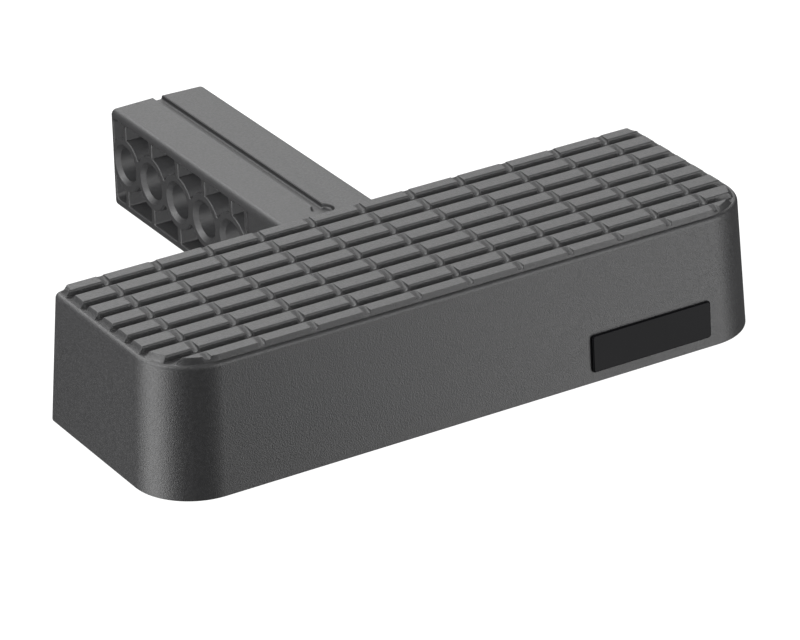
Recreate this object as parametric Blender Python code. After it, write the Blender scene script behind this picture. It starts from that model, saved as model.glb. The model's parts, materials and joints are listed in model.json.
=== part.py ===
"""Hitch step: a moulded step that slides into a 2 inch receiver behind a tailgate.

The outer cover with its tread, the closing plate, two ribbed cores and the hitch
shank are separate mouldings. Four cross bolts clamp the cores to the shank, and
eight screws from below hold the closing plate and the cores to the cover.

Metres, +Z up. X runs along the step, the shank points to +Y and the origin is on
the ground plane under the middle of the step.
"""

import math

import bmesh
import bpy
from mathutils import Matrix, Vector

# Overall sizes
MM = 0.001
GAP = 0.3 * MM
STEP_LENGTH = 304.8 * MM
STEP_DEPTH = 104.6 * MM
STEP_HEIGHT = 63.0 * MM
DRAFT = math.radians(3.3)
WALL = 3.2 * MM

# Tread
TREAD_RISE = 2.8 * MM
ROW_PITCH = 12.7 * MM
ROW_GROOVES = 7
GROOVE_TOP = 6.1 * MM
GROOVE_FLOOR = 4.6 * MM
NOTCH_PITCH = 25.4 * MM
NOTCHES = 11
NOTCH_WIDTH = 4.4 * MM
NOTCH_DEPTH = 2.3 * MM
TREAD_FOOT_INSET = 2.1 * MM
TREAD_TOP_INSET = (3.9 * MM, 2.5 * MM)

# Cover corners
FRONT_RADIUS = 28.0 * MM
BACK_RADIUS = 7.0 * MM
EDGE_RADIUS = 2.2 * MM
RIM_HEIGHT = STEP_HEIGHT - TREAD_RISE
COVER_TOP = 3.7 * MM
CEILING = RIM_HEIGHT - COVER_TOP

# Shank
SHANK = 49.6 * MM
SHANK_END = 225.2 * MM
SHANK_EDGE = 3.0 * MM
CROWN = math.radians(2.0)
SHANK_FRONT = -44.0 * MM
BORE = 16.5 * MM
BORE_MOUTH = 20.4 * MM
BORE_CHAMFER = 2.0 * MM
BORE_PITCH = 24.5 * MM
BORES = 5
BOSS_RADIUS = 13.2 * MM
POCKET_FILLET = 1.5 * MM
RIB = 2.8 * MM
FLANGE = 4.4 * MM
WEB = 4.0 * MM
SIDE_RELIEF = 0.7 * MM
TOP_GROOVE = (5.0 * MM, 1.8 * MM)
RECESS_RADIUS = 5.3 * MM
RECESS_Y = 75.2 * MM
TONGUE_CELLS = ((-22.0 * MM, -1.5 * MM), (1.5 * MM, 22.0 * MM))
UNDER_CELLS = ((56.5 * MM, 76.0 * MM), (79.0 * MM, 98.5 * MM))
LATTICE_TOP = SHANK_END - BORE_PITCH / 2
LATTICE_END = 100.4 * MM
END_WALL = 2.0 * MM

# Closing plate and cores
PLATE_TOP = 4.4 * MM
TONGUE_FLOOR = PLATE_TOP + GAP
COUNTERBORE = (11.0 * MM, 2.6 * MM)
DRAIN = 5.0 * MM
DRAIN_ROWS = (0, 3)
CORE_RIB = 2.6 * MM
CORE_SIDE = 4.0 * MM
CORE_CROSS_RIBS = 4
CORE_LONG_RIBS = 3
CORE_ROOF = 3.0 * MM

# Fasteners
BOLT = 8.0 * MM
BOLT_HOLE = 9.0 * MM
BOLT_ROWS = (0, 3)
BOLT_Z = (16.5 * MM, 36.5 * MM)
HEX_HEAD = (13.0 * MM, 5.3 * MM)
HEX_NUT = (13.0 * MM, 6.5 * MM)
WASHER = (16.0 * MM, 1.6 * MM)
BOLT_TAIL = 3.0 * MM
SCREW = 5.0 * MM
SCREW_HEAD = (9.5 * MM, 2.0 * MM)
SCREW_LENGTH = 25.0 * MM
INSERT = (7.0 * MM, 10.0 * MM)
POST = 10.0 * MM
POST_END = 20.0 * MM
POST_DRILL = 6.0 * MM
TOWER = 15.6 * MM
SCREW_COLUMNS = (1, 3)
SCREW_ROWS = (0, 3)

# Badge
BADGE_SIZE = (62.5 * MM, 17.6 * MM)
BADGE_CENTRE = (88.9 * MM, 13.8 * MM)
BADGE_RADIUS = 1.6 * MM
BADGE_BASE = 0.5 * MM
BADGE_DOME = 1.1 * MM
DOME_EDGE = 0.7 * MM

ROUND_STEPS = 8
BORE_SIDES = 28
SMALL_SIDES = 16


def clear_scene():
    for item in list(bpy.data.objects):
        bpy.data.objects.remove(item, do_unlink=True)
    for group in list(bpy.data.collections):
        bpy.data.collections.remove(group)


def new_collection(name):
    group = bpy.data.collections.new(name)
    bpy.context.scene.collection.children.link(group)
    return group


def plastic(name, shade, roughness, metallic=0.0):
    material = bpy.data.materials.new(name)
    material.use_nodes = True
    shader = material.node_tree.nodes["Principled BSDF"]
    shader.inputs["Base Color"].default_value = (*shade, 1.0)
    shader.inputs["Roughness"].default_value = roughness
    shader.inputs["Metallic"].default_value = metallic
    return material


def add_object(name, mesh_data, group, material=None):
    """Turn a bmesh into a named object with outward normals."""
    bmesh.ops.recalc_face_normals(mesh_data, faces=mesh_data.faces)
    mesh = bpy.data.meshes.new(name)
    mesh_data.to_mesh(mesh)
    mesh_data.free()
    item = bpy.data.objects.new(name, mesh)
    group.objects.link(item)
    if material is not None:
        mesh.materials.append(material)
        mesh.shade_smooth()
        mesh.set_sharp_from_angle(angle=math.radians(35))
    return item


def as_cutter(item):
    item.display_type = "WIRE"
    item.hide_render = True
    return item


def boolean(item, other, operation="DIFFERENCE"):
    modifier = item.modifiers.new(operation.lower(), "BOOLEAN")
    modifier.operation = operation
    modifier.solver = "EXACT"
    modifier.object = other
    return modifier


def box(low, high):
    """A bmesh box between two corners."""
    data = bmesh.new()
    bmesh.ops.create_cube(data, size=1.0)
    low = Vector(low)
    high = Vector(high)
    bmesh.ops.scale(data, vec=high - low, verts=data.verts)
    bmesh.ops.translate(data, vec=(low + high) / 2, verts=data.verts)
    return data


def cylinder(radius, start, end, axis="Z", centre=(0.0, 0.0), radius_end=None, segments=SMALL_SIDES):
    """A bmesh cylinder or cone along one axis, through a centre in the other two."""
    data = bmesh.new()
    bmesh.ops.create_cone(
        data, cap_ends=True, segments=segments, radius1=radius,
        radius2=radius if radius_end is None else radius_end, depth=end - start,
    )
    bmesh.ops.translate(data, vec=(0.0, 0.0, (start + end) / 2), verts=data.verts)
    turn = Matrix.Identity(4)
    place = Vector((centre[0], centre[1], 0.0))
    if axis == "X":
        turn = Matrix(((0, 0, 1, 0), (1, 0, 0, 0), (0, 1, 0, 0), (0, 0, 0, 1)))
        place = Vector((0.0, centre[0], centre[1]))
    if axis == "Y":
        turn = Matrix(((0, 1, 0, 0), (0, 0, 1, 0), (1, 0, 0, 0), (0, 0, 0, 1)))
        place = Vector((centre[0], 0.0, centre[1]))
    bmesh.ops.transform(data, matrix=turn, verts=data.verts)
    bmesh.ops.translate(data, vec=place, verts=data.verts)
    return data


def prism(outline, axis, start, end):
    """Extrude a flat outline along one axis; the outline gives the other two in order."""
    data = bmesh.new()
    corners = []
    for first, second in outline:
        place = {
            "X": (start, first, second),
            "Y": (first, start, second),
            "Z": (first, second, start),
        }[axis]
        corners.append(data.verts.new(place))
    face = data.faces.new(corners)
    grown = bmesh.ops.extrude_face_region(data, geom=[face])
    moved = [element for element in grown["geom"] if isinstance(element, bmesh.types.BMVert)]
    step = {"X": (1, 0, 0), "Y": (0, 1, 0), "Z": (0, 0, 1)}[axis]
    bmesh.ops.translate(data, vec=Vector(step) * (end - start), verts=moved)
    return data


def joined(pieces):
    """Put several separate bmesh solids in one bmesh, for a cutter of loose bodies."""
    whole = bmesh.new()
    for piece in pieces:
        mesh = bpy.data.meshes.new("part")
        bmesh.ops.recalc_face_normals(piece, faces=piece.faces)
        piece.to_mesh(mesh)
        piece.free()
        whole.from_mesh(mesh)
        bpy.data.meshes.remove(mesh)
    return whole


def arc(centre, radius, start, end, steps):
    """Points on an arc, angles in degrees."""
    points = []
    for step in range(steps + 1):
        angle = math.radians(start + (end - start) * step / steps)
        points.append((centre[0] + radius * math.cos(angle), centre[1] + radius * math.sin(angle)))
    return points


def plan_outline(half_x, half_y, front_radius, back_radius):
    """Rounded rectangle in plan: large corners at the front, small at the back."""
    points = []
    corners = (
        (half_x, -half_y, front_radius, -90),
        (half_x, half_y, back_radius, 0),
        (-half_x, half_y, back_radius, 90),
        (-half_x, -half_y, front_radius, 180),
    )
    for x, y, radius, angle in corners:
        centre = (x - math.copysign(radius, x), y - math.copysign(radius, y))
        points += arc(centre, radius, angle, angle + 90, ROUND_STEPS)
    return points


def wall_inset(height):
    """How far the drafted wall leans in at a height above the ground."""
    return height * math.tan(DRAFT)


def plan_at(height, inset=0.0, inset_y=None):
    """The cover's plan outline at a height, moved in by an inset."""
    lean = wall_inset(height)
    side = lean + inset
    ends = lean + (inset if inset_y is None else inset_y)
    return plan_outline(
        STEP_LENGTH / 2 - side,
        STEP_DEPTH / 2 - ends,
        max(FRONT_RADIUS - side, 1.0 * MM),
        max(BACK_RADIUS - side, 1.0 * MM),
    )


def loft(levels):
    """Skin a stack of outlines with equal point counts, given as (height, outline)."""
    data = bmesh.new()
    rings = []
    for height, outline in levels:
        ring = [data.verts.new((x, y, height)) for x, y in outline]
        edges = [data.edges.new((ring[k - 1], ring[k])) for k in range(len(ring))]
        rings.append((ring, edges))
    for (_, lower), (_, upper) in zip(rings, rings[1:]):
        bmesh.ops.bridge_loops(data, edges=lower + upper)
    data.faces.new(rings[-1][0])
    data.faces.new(rings[0][0])
    return data


def rounded_bar(width, height, radius, centre, steps=3):
    """A rectangle with rounded corners, as (x, z) points."""
    half = Vector((width / 2, height / 2))
    points = []
    for sx, sz, angle in ((1, -1, -90), (1, 1, 0), (-1, 1, 90), (-1, -1, 180)):
        corner = (centre[0] + sx * (half.x - radius), centre[1] + sz * (half.y - radius))
        points += arc(corner, radius, angle, angle + 90, steps)
    return points


# Core grid, which the fasteners share ----------------------------------------------


def core_roof():
    return CEILING - GAP


def core_grid():
    """Start, cell size and pitch of the rib cells, along and across the step."""
    lean = wall_inset(core_roof()) + WALL + GAP
    start_x = SHANK / 2 + GAP + CORE_SIDE
    stop_x = STEP_LENGTH / 2 - lean - 2 * CORE_RIB
    width = (stop_x - start_x - CORE_RIB * CORE_CROSS_RIBS) / (CORE_CROSS_RIBS + 1)
    half_y = STEP_DEPTH / 2 - lean - CORE_RIB
    depth = (2 * half_y - CORE_RIB * CORE_LONG_RIBS) / (CORE_LONG_RIBS + 1)
    return (start_x, width), (-half_y, depth)


def cell_low(column, row):
    (start_x, width), (start_y, depth) = core_grid()
    return start_x + column * (width + CORE_RIB), start_y + row * (depth + CORE_RIB)


def cell_centre(column, row):
    (_, width), (_, depth) = core_grid()
    x, y = cell_low(column, row)
    return x + width / 2, y + depth / 2


def screw_places():
    places = []
    for side in (-1, 1):
        for column in SCREW_COLUMNS:
            for row in SCREW_ROWS:
                x, y = cell_centre(column, row)
                places.append((side * x, y))
    return places


def bolt_places():
    return [(cell_centre(0, row)[1], z) for row in BOLT_ROWS for z in BOLT_Z]


# Cover ---------------------------------------------------------------------------


def cover_body():
    """Drafted outer wall with a rounded top edge, solid through."""
    edge_centre = RIM_HEIGHT - EDGE_RADIUS
    levels = [(0.0, plan_at(0.0)), (edge_centre, plan_at(edge_centre))]
    for step in range(1, 4):
        angle = math.radians(30 * step)
        inset = EDGE_RADIUS * (1 - math.cos(angle))
        levels.append((edge_centre + EDGE_RADIUS * math.sin(angle), plan_at(edge_centre, inset)))
    return loft(levels)


def tread_plateau():
    """Raised field that the row grooves and notches divide into bars."""
    edge_centre = RIM_HEIGHT - EDGE_RADIUS
    top_x, top_y = TREAD_TOP_INSET
    overlap = 0.8 * MM
    return loft([
        (RIM_HEIGHT - overlap, plan_at(edge_centre, TREAD_FOOT_INSET)),
        (RIM_HEIGHT, plan_at(edge_centre, TREAD_FOOT_INSET)),
        (STEP_HEIGHT, plan_at(edge_centre, top_x, top_y)),
    ])


def row_groove(centre_y):
    """Trapezoid groove along the step."""
    over = MM
    widen = (GROOVE_TOP - GROOVE_FLOOR) / 2 * over / TREAD_RISE
    top = GROOVE_TOP / 2 + widen
    floor = GROOVE_FLOOR / 2
    outline = [
        (centre_y - floor, RIM_HEIGHT),
        (centre_y + floor, RIM_HEIGHT),
        (centre_y + top, STEP_HEIGHT + over),
        (centre_y - top, STEP_HEIGHT + over),
    ]
    return prism(outline, "X", -STEP_LENGTH / 2, STEP_LENGTH / 2)


def tread_notch(centre_x):
    """U-shaped notch across the bars."""
    radius = NOTCH_WIDTH / 2
    bottom = STEP_HEIGHT - NOTCH_DEPTH
    outline = arc((centre_x, bottom + radius), radius, 180, 360, 4)
    outline += [(centre_x + radius, STEP_HEIGHT + MM), (centre_x - radius, STEP_HEIGHT + MM)]
    return prism(outline, "Y", -STEP_DEPTH / 2, STEP_DEPTH / 2)


def cover_hollow():
    """Space inside the cover, open at the bottom."""
    return loft([
        (-MM, plan_at(0.0, WALL)),
        (CEILING, plan_at(CEILING, WALL)),
    ])


def build_cover(parts, cutters, material):
    cover = add_object("step_cover", cover_body(), parts, material)
    hollow = as_cutter(add_object("cover_hollow", cover_hollow(), cutters))
    posts = []
    for x, y in screw_places():
        posts.append(cylinder(POST / 2, POST_END, CEILING + MM, centre=(x, y)))
    post_set = as_cutter(add_object("cover_posts", joined(posts), cutters))
    plateau = as_cutter(add_object("tread_plateau", tread_plateau(), cutters))
    first = -ROW_PITCH * (ROW_GROOVES - 1) / 2
    grooves = [row_groove(first + ROW_PITCH * k) for k in range(ROW_GROOVES)]
    groove_set = as_cutter(add_object("row_grooves", joined(grooves), cutters))
    first = -NOTCH_PITCH * (NOTCHES - 1) / 2
    notches = [tread_notch(first + NOTCH_PITCH * k) for k in range(NOTCHES)]
    notch_set = as_cutter(add_object("tread_notches", joined(notches), cutters))
    slot_low = (-SHANK / 2 - GAP, STEP_DEPTH / 2 - 3 * WALL, -MM)
    slot_high = (SHANK / 2 + GAP, STEP_DEPTH / 2 + WALL, SHANK + GAP)
    slot = as_cutter(add_object("shank_slot", box(slot_low, slot_high), cutters))
    holes = []
    for x, y in screw_places():
        insert_top = POST_END + INSERT[1]
        holes.append(cylinder(INSERT[0] / 2 + GAP, POST_END - MM, insert_top + GAP, centre=(x, y)))
        holes.append(cylinder(SCREW / 2 + GAP, insert_top - MM, insert_top + POST_DRILL, centre=(x, y)))
    boolean(cover, hollow)
    boolean(cover, post_set, "UNION")
    for number, hole in enumerate(holes):
        pocket = as_cutter(add_object(f"post_hole_{number + 1}", hole, cutters))
        boolean(cover, pocket)
    boolean(plateau, groove_set)
    boolean(plateau, notch_set)
    boolean(cover, plateau, "UNION")
    boolean(cover, slot)
    return cover


# Shank ---------------------------------------------------------------------------


def bore_places():
    return [LATTICE_TOP - BORE_PITCH * k for k in range(BORES)]


def pocket_outline(near, far, up):
    """Outline of one pocket between two ribs, as (y, z) points.

    near and far are the centres of the two bosses it lies between. One of them is
    None for a half pocket between an outer boss and an end wall.
    """
    middle = SHANK / 2
    roof = middle + up * (middle - FLANGE)
    reach = BOSS_RADIUS + POCKET_FILLET
    half = BORE_PITCH / 2
    if near is None or far is None:
        boss = far if near is None else near
        away = 1 if near is None else -1
        wall = SHANK_END - END_WALL if near is None else LATTICE_END + END_WALL
        rib = boss + away * RIB / 2
        start = math.degrees(math.acos(RIB / 2 / BOSS_RADIUS))
        stop = math.degrees(math.acos(abs(wall - boss) / BOSS_RADIUS))
        points = [(rib, roof), (wall, roof)]
        for step in range(7):
            angle = math.radians(stop + (start - stop) * step / 6)
            points.append((boss + away * BOSS_RADIUS * math.cos(angle),
                           middle + up * BOSS_RADIUS * math.sin(angle)))
        return points
    lift = math.sqrt(reach ** 2 - half ** 2)
    contact = math.degrees(math.asin(lift / reach))
    start = math.degrees(math.acos(RIB / 2 / BOSS_RADIUS))
    centre = (near + far) / 2
    points = [(far - RIB / 2, roof), (near + RIB / 2, roof)]
    for step in range(6):
        angle = math.radians(start + (contact - start) * step / 5)
        points.append((near + BOSS_RADIUS * math.cos(angle),
                       middle + up * BOSS_RADIUS * math.sin(angle)))
    for step in range(1, 4):
        angle = math.radians(-180 + contact + (180 - 2 * contact) * step / 4)
        points.append((centre + POCKET_FILLET * math.cos(angle),
                       middle + up * (lift + POCKET_FILLET * math.sin(angle))))
    for step in range(6):
        angle = math.radians(contact + (start - contact) * step / 5)
        points.append((far - BOSS_RADIUS * math.cos(angle),
                       middle + up * BOSS_RADIUS * math.sin(angle)))
    return points


def lattice_pockets():
    """Pockets cored from both sides, down to the middle web."""
    centres = bore_places()
    spans = [(None, centres[0])]
    for high, low in zip(centres, centres[1:]):
        spans.append((low, high))
    spans.append((centres[-1], None))
    pockets = []
    for near, far in spans:
        for up in (1, -1):
            outline = pocket_outline(near, far, up)
            pockets.append(prism(outline, "X", WEB / 2, SHANK))
            pockets.append(prism(outline, "X", -SHANK, -WEB / 2))
    return pockets


def tongue_cores():
    """Pockets in the tongue inside the step, cored from both sides between the bolts."""
    cells = []
    low = TONGUE_FLOOR + FLANGE
    high = SHANK - FLANGE
    for start, end in TONGUE_CELLS:
        for side in (-1, 1):
            near = side * WEB / 2
            far = side * SHANK
            cells.append(box((min(near, far), start, low), (max(near, far), end, high)))
    return cells


def under_cores():
    """Cells cored from below in the plain stretch behind the step."""
    cells = []
    outer = SHANK / 2 - FLANGE
    for start, end in UNDER_CELLS:
        for side in (-1, 1):
            near = side * WEB / 2
            far = side * outer
            cells.append(box((min(near, far), start, -MM), (max(near, far), end, SHANK - 2 * FLANGE)))
    return cells


def shank_section():
    """Square with rounded corners whose top falls slightly to each side."""
    points = rounded_bar(SHANK, SHANK, SHANK_EDGE, (0.0, SHANK / 2))
    apex = len(points) // 2
    points.insert(apex, (0.0, SHANK))
    section = []
    for x, z in points:
        fall = abs(x) * math.tan(CROWN) if z > SHANK / 2 else 0.0
        section.append((x, z - fall))
    return section


def build_shank(parts, cutters, material):
    body = prism(shank_section(), "Y", SHANK_FRONT, SHANK_END)
    shank = add_object("hitch_shank", body, parts, material)
    pockets = as_cutter(add_object("lattice_pockets", joined(lattice_pockets()), cutters))
    cores = as_cutter(add_object("tongue_pockets", joined(tongue_cores()), cutters))
    relief = []
    for side in (-1, 1):
        inner = side * (SHANK / 2 - SIDE_RELIEF)
        outer = side * SHANK
        relief.append(box(
            (min(inner, outer), STEP_DEPTH / 2 + 4 * MM, FLANGE),
            (max(inner, outer), LATTICE_END, SHANK - FLANGE),
        ))
    reliefs = as_cutter(add_object("side_reliefs", joined(relief), cutters))
    under_set = as_cutter(add_object("under_pockets", joined(under_cores()), cutters))
    width, depth = TOP_GROOVE
    groove_low = (-width / 2, RECESS_Y, SHANK - depth)
    groove_high = (width / 2, SHANK_END + MM, SHANK + MM)
    groove = as_cutter(add_object("top_groove", box(groove_low, groove_high), cutters))
    recess_body = cylinder(RECESS_RADIUS, SHANK - depth, SHANK + MM, centre=(0.0, RECESS_Y))
    recess = as_cutter(add_object("top_recess", recess_body, cutters))
    under_low = (-SHANK, SHANK_FRONT - MM, -MM)
    under_high = (SHANK, STEP_DEPTH / 2 + GAP, TONGUE_FLOOR)
    under = as_cutter(add_object("tongue_relief", box(under_low, under_high), cutters))
    boolean(shank, pockets)
    boolean(shank, cores)
    boolean(shank, reliefs)
    boolean(shank, under_set)
    boolean(shank, groove)
    boolean(shank, recess)
    boolean(shank, under)
    for number, y in enumerate(bore_places()):
        centre = (y, SHANK / 2)
        bore = cylinder(BORE / 2, -SHANK, SHANK, "X", centre, segments=BORE_SIDES)
        boolean(shank, as_cutter(add_object(f"pin_bore_{number + 1}", bore, cutters)))
        for side, label in ((-1, "left"), (1, "right")):
            slope = (BORE_MOUTH - BORE) / 2 / BORE_CHAMFER
            inner = SHANK / 2 - BORE_CHAMFER
            outer = SHANK / 2 + MM
            wide = BORE_MOUTH / 2 + slope * MM
            if side > 0:
                mouth = cylinder(BORE / 2, inner, outer, "X", centre, wide, BORE_SIDES)
            else:
                mouth = cylinder(wide, -outer, -inner, "X", centre, BORE / 2, BORE_SIDES)
            name = f"bore_mouth_{label}_{number + 1}"
            boolean(shank, as_cutter(add_object(name, mouth, cutters)))
    bolt_holes = []
    for y, z in bolt_places():
        bolt_holes.append(cylinder(BOLT_HOLE / 2, -SHANK, SHANK, "X", (y, z)))
    boolean(shank, as_cutter(add_object("shank_bolt_holes", joined(bolt_holes), cutters)))
    return shank


# Closing plate -------------------------------------------------------------------


def build_plate(parts, cutters, material):
    """Flat plate that closes the cover and carries the recessed screw heads."""
    plate = add_object("closing_plate", loft([
        (0.0, plan_at(0.0, WALL + GAP)),
        (PLATE_TOP, plan_at(PLATE_TOP, WALL + GAP)),
    ]), parts, material)
    width, depth = COUNTERBORE
    holes = []
    sinks = []
    for place in screw_places():
        holes.append(cylinder(SCREW / 2 + GAP, depth - MM, 2 * PLATE_TOP, centre=place))
        sinks.append(cylinder(width / 2, -MM, depth, centre=place))
    drain_x = cell_centre(2, 0)[0]
    for side in (-1, 1):
        for row in DRAIN_ROWS:
            place = (side * drain_x, cell_centre(2, row)[1])
            holes.append(cylinder(DRAIN / 2, -MM, 2 * PLATE_TOP, centre=place))
    boolean(plate, as_cutter(add_object("plate_sinks", joined(sinks), cutters)))
    boolean(plate, as_cutter(add_object("plate_holes", joined(holes), cutters)))
    return plate


# Cores ---------------------------------------------------------------------------


def core_block():
    """Solid outline of the core inside the cover, before it is halved."""
    floor = PLATE_TOP + GAP
    return loft([
        (floor, plan_at(floor, WALL + GAP)),
        (core_roof(), plan_at(core_roof(), WALL + GAP)),
    ])


def core_cells(side):
    """Rib cells of one core, open at the bottom."""
    (_, width), (_, depth) = core_grid()
    cells = []
    for column in range(CORE_CROSS_RIBS + 1):
        for row in range(CORE_LONG_RIBS + 1):
            if column == CORE_CROSS_RIBS and row == 0:
                continue
            low_x, low_y = cell_low(column, row)
            near = side * low_x
            far = side * (low_x + width)
            cells.append(box(
                (min(near, far), low_y, 0.0),
                (max(near, far), low_y + depth, core_roof() - CORE_ROOF),
            ))
    return cells


def build_core(side, label, parts, cutters, material):
    inner = SHANK / 2 + GAP
    roof = core_roof()
    core = add_object(f"crush_core_{label}", core_block(), parts, material)
    ends = sorted((side * inner, -side * STEP_LENGTH))
    body = box((ends[0], -STEP_DEPTH, -MM), (ends[1], STEP_DEPTH, STEP_HEIGHT))
    boolean(core, as_cutter(add_object(f"core_half_{label}", body, cutters)))
    cells = as_cutter(add_object(f"core_cells_{label}", joined(core_cells(side)), cutters))
    boolean(core, cells)
    for number, (x, y) in enumerate(screw_places()):
        if x * side < 0:
            continue
        tower = cylinder(TOWER / 2, PLATE_TOP + GAP, roof - MM, centre=(x, y))
        boolean(core, as_cutter(add_object(f"core_tower_{number + 1}", tower, cutters)), "UNION")
        socket = cylinder(POST / 2 + GAP, POST_END - GAP, roof + MM, centre=(x, y))
        boolean(core, as_cutter(add_object(f"core_socket_{number + 1}", socket, cutters)))
        hole = cylinder(SCREW / 2 + GAP, 0.0, POST_END, centre=(x, y))
        boolean(core, as_cutter(add_object(f"core_hole_{number + 1}", hole, cutters)))
    middle = side * inner
    reach = CORE_SIDE + 2 * MM
    bolt_holes = []
    for place in bolt_places():
        bolt_holes.append(cylinder(BOLT_HOLE / 2, middle - reach, middle + reach, "X", place))
    boolean(core, as_cutter(add_object(f"core_bolt_holes_{label}", joined(bolt_holes), cutters)))
    return core


# Fasteners -----------------------------------------------------------------------


def hexagon(across_flats):
    return across_flats / math.sqrt(3)


def build_bolts(parts, cutters, steel):
    """Cross bolts through the left core, the shank and the right core."""
    face = SHANK / 2 + GAP + CORE_SIDE
    thickness = WASHER[1]
    for number, (y, z) in enumerate(bolt_places()):
        seat = -(face + GAP + thickness + GAP)
        tip = -seat + HEX_NUT[1] + BOLT_TAIL
        shaft = cylinder(BOLT / 2, seat - MM, tip, "X", (y, z))
        head = cylinder(hexagon(HEX_HEAD[0]), seat - HEX_HEAD[1], seat, "X", (y, z), segments=6)
        bolt = add_object(f"cross_bolt_{number + 1}", head, parts, steel)
        shaft_body = as_cutter(add_object(f"bolt_shaft_{number + 1}", shaft, cutters))
        boolean(bolt, shaft_body, "UNION")
        for side, label in ((-1, "head"), (1, "nut")):
            start = side * (face + GAP)
            low = min(start, start + side * thickness)
            disc = cylinder(WASHER[0] / 2, low, low + thickness, "X", (y, z))
            washer = add_object(f"{label}_washer_{number + 1}", disc, parts, steel)
            hole = cylinder(BOLT / 2 + GAP, low - MM, low + thickness + MM, "X", (y, z))
            name = f"{label}_washer_hole_{number + 1}"
            boolean(washer, as_cutter(add_object(name, hole, cutters)))
        low = face + 2 * GAP + thickness
        body = cylinder(hexagon(HEX_NUT[0]), low, low + HEX_NUT[1], "X", (y, z), segments=6)
        nut = add_object(f"lock_nut_{number + 1}", body, parts, steel)
        hole = cylinder(BOLT / 2 + GAP, low - MM, low + HEX_NUT[1] + MM, "X", (y, z))
        boolean(nut, as_cutter(add_object(f"nut_hole_{number + 1}", hole, cutters)))


def build_screws(parts, cutters, steel, brass):
    """Pan head screws from below, each in a brass insert in a cover post."""
    seat = COUNTERBORE[1] - GAP
    width, height = SCREW_HEAD
    for number, (x, y) in enumerate(screw_places()):
        body = cylinder(width / 2 - MM, seat - height, seat, centre=(x, y), radius_end=width / 2)
        screw = add_object(f"plate_screw_{number + 1}", body, parts, steel)
        shaft = cylinder(SCREW / 2, seat - MM, seat + SCREW_LENGTH, centre=(x, y))
        boolean(screw, as_cutter(add_object(f"screw_shaft_{number + 1}", shaft, cutters)), "UNION")
        sleeve = cylinder(INSERT[0] / 2, POST_END, POST_END + INSERT[1], centre=(x, y))
        insert = add_object(f"screw_insert_{number + 1}", sleeve, parts, brass)
        hole = cylinder(SCREW / 2 + GAP, POST_END - MM, POST_END + INSERT[1] + MM, centre=(x, y))
        boolean(insert, as_cutter(add_object(f"insert_hole_{number + 1}", hole, cutters)))


# Badge ---------------------------------------------------------------------------


def badge_slab(thickness, inset):
    width, height = BADGE_SIZE
    outline = rounded_bar(width - 2 * inset, height - 2 * inset, BADGE_RADIUS, (0.0, 0.0), steps=4)
    return prism(outline, "Y", -thickness, 0.0)


def badge_place(offset):
    """Matrix that lays a slab on the drafted front wall, proud of it by an offset."""
    x, z = BADGE_CENTRE
    y = -STEP_DEPTH / 2 + wall_inset(z)
    lean = Matrix.Rotation(-DRAFT, 4, "X")
    outward = lean @ Vector((0.0, -1.0, 0.0))
    return Matrix.Translation(Vector((x, y, z)) + outward * offset) @ lean


def build_badge(parts, label_black, clear):
    data = badge_slab(BADGE_BASE, 0.0)
    bmesh.ops.transform(data, matrix=badge_place(GAP), verts=data.verts)
    add_object("badge_label", data, parts, label_black)
    data = badge_slab(BADGE_DOME, DOME_EDGE)
    rim = [edge for edge in data.edges if all(vertex.co.y < -BADGE_DOME / 2 for vertex in edge.verts)]
    bmesh.ops.bevel(data, geom=rim, offset=DOME_EDGE, segments=2, profile=0.5, affect="EDGES")
    bmesh.ops.transform(data, matrix=badge_place(2 * GAP + BADGE_BASE), verts=data.verts)
    add_object("badge_dome", data, parts, clear)


def main():
    clear_scene()
    parts = new_collection("hitch_step")
    cutters = new_collection("cutters")
    charcoal = plastic("moulded_charcoal", (0.055, 0.056, 0.058), 0.55)
    black = plastic("core_black", (0.02, 0.02, 0.02), 0.6)
    steel = plastic("zinc_steel", (0.55, 0.56, 0.58), 0.35, 1.0)
    brass = plastic("insert_brass", (0.7, 0.52, 0.24), 0.35, 1.0)
    label_black = plastic("badge_black", (0.01, 0.01, 0.012), 0.2)
    clear = plastic("badge_clear", (0.02, 0.02, 0.022), 0.05)
    build_cover(parts, cutters, charcoal)
    build_shank(parts, cutters, charcoal)
    build_plate(parts, cutters, charcoal)
    build_core(-1, "left", parts, cutters, black)
    build_core(1, "right", parts, cutters, black)
    build_bolts(parts, cutters, steel)
    build_screws(parts, cutters, steel, brass)
    build_badge(parts, label_black, clear)


main()
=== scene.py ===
"""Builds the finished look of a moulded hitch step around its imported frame.

The cover, shank, closing plate and badge are remade as fine meshes in the places of their
plain solids, and the cores and fasteners get their finishes. Metres, +Z up, X along the
step and the shank to +Y.
"""

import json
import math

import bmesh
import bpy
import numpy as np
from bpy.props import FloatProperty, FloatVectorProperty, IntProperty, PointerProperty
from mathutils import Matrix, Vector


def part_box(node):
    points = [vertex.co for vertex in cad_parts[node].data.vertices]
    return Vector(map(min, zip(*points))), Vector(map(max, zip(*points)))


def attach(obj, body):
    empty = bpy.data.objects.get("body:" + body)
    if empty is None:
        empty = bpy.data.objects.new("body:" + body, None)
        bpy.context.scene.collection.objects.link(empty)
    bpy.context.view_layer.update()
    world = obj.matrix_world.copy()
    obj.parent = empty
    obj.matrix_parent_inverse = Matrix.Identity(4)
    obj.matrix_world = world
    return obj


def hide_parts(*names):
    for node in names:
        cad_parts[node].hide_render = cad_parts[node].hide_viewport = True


bl_info = {
    "name": "Hitch Step",
    "version": (1, 0, 0),
    "blender": (4, 5, 0),
    "location": "View3D > Sidebar > Hitch Step",
    "description": "Builds the moulded cover, shank, closing plate and badge of a hitch step",
    "category": "Add Mesh",
}

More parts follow.
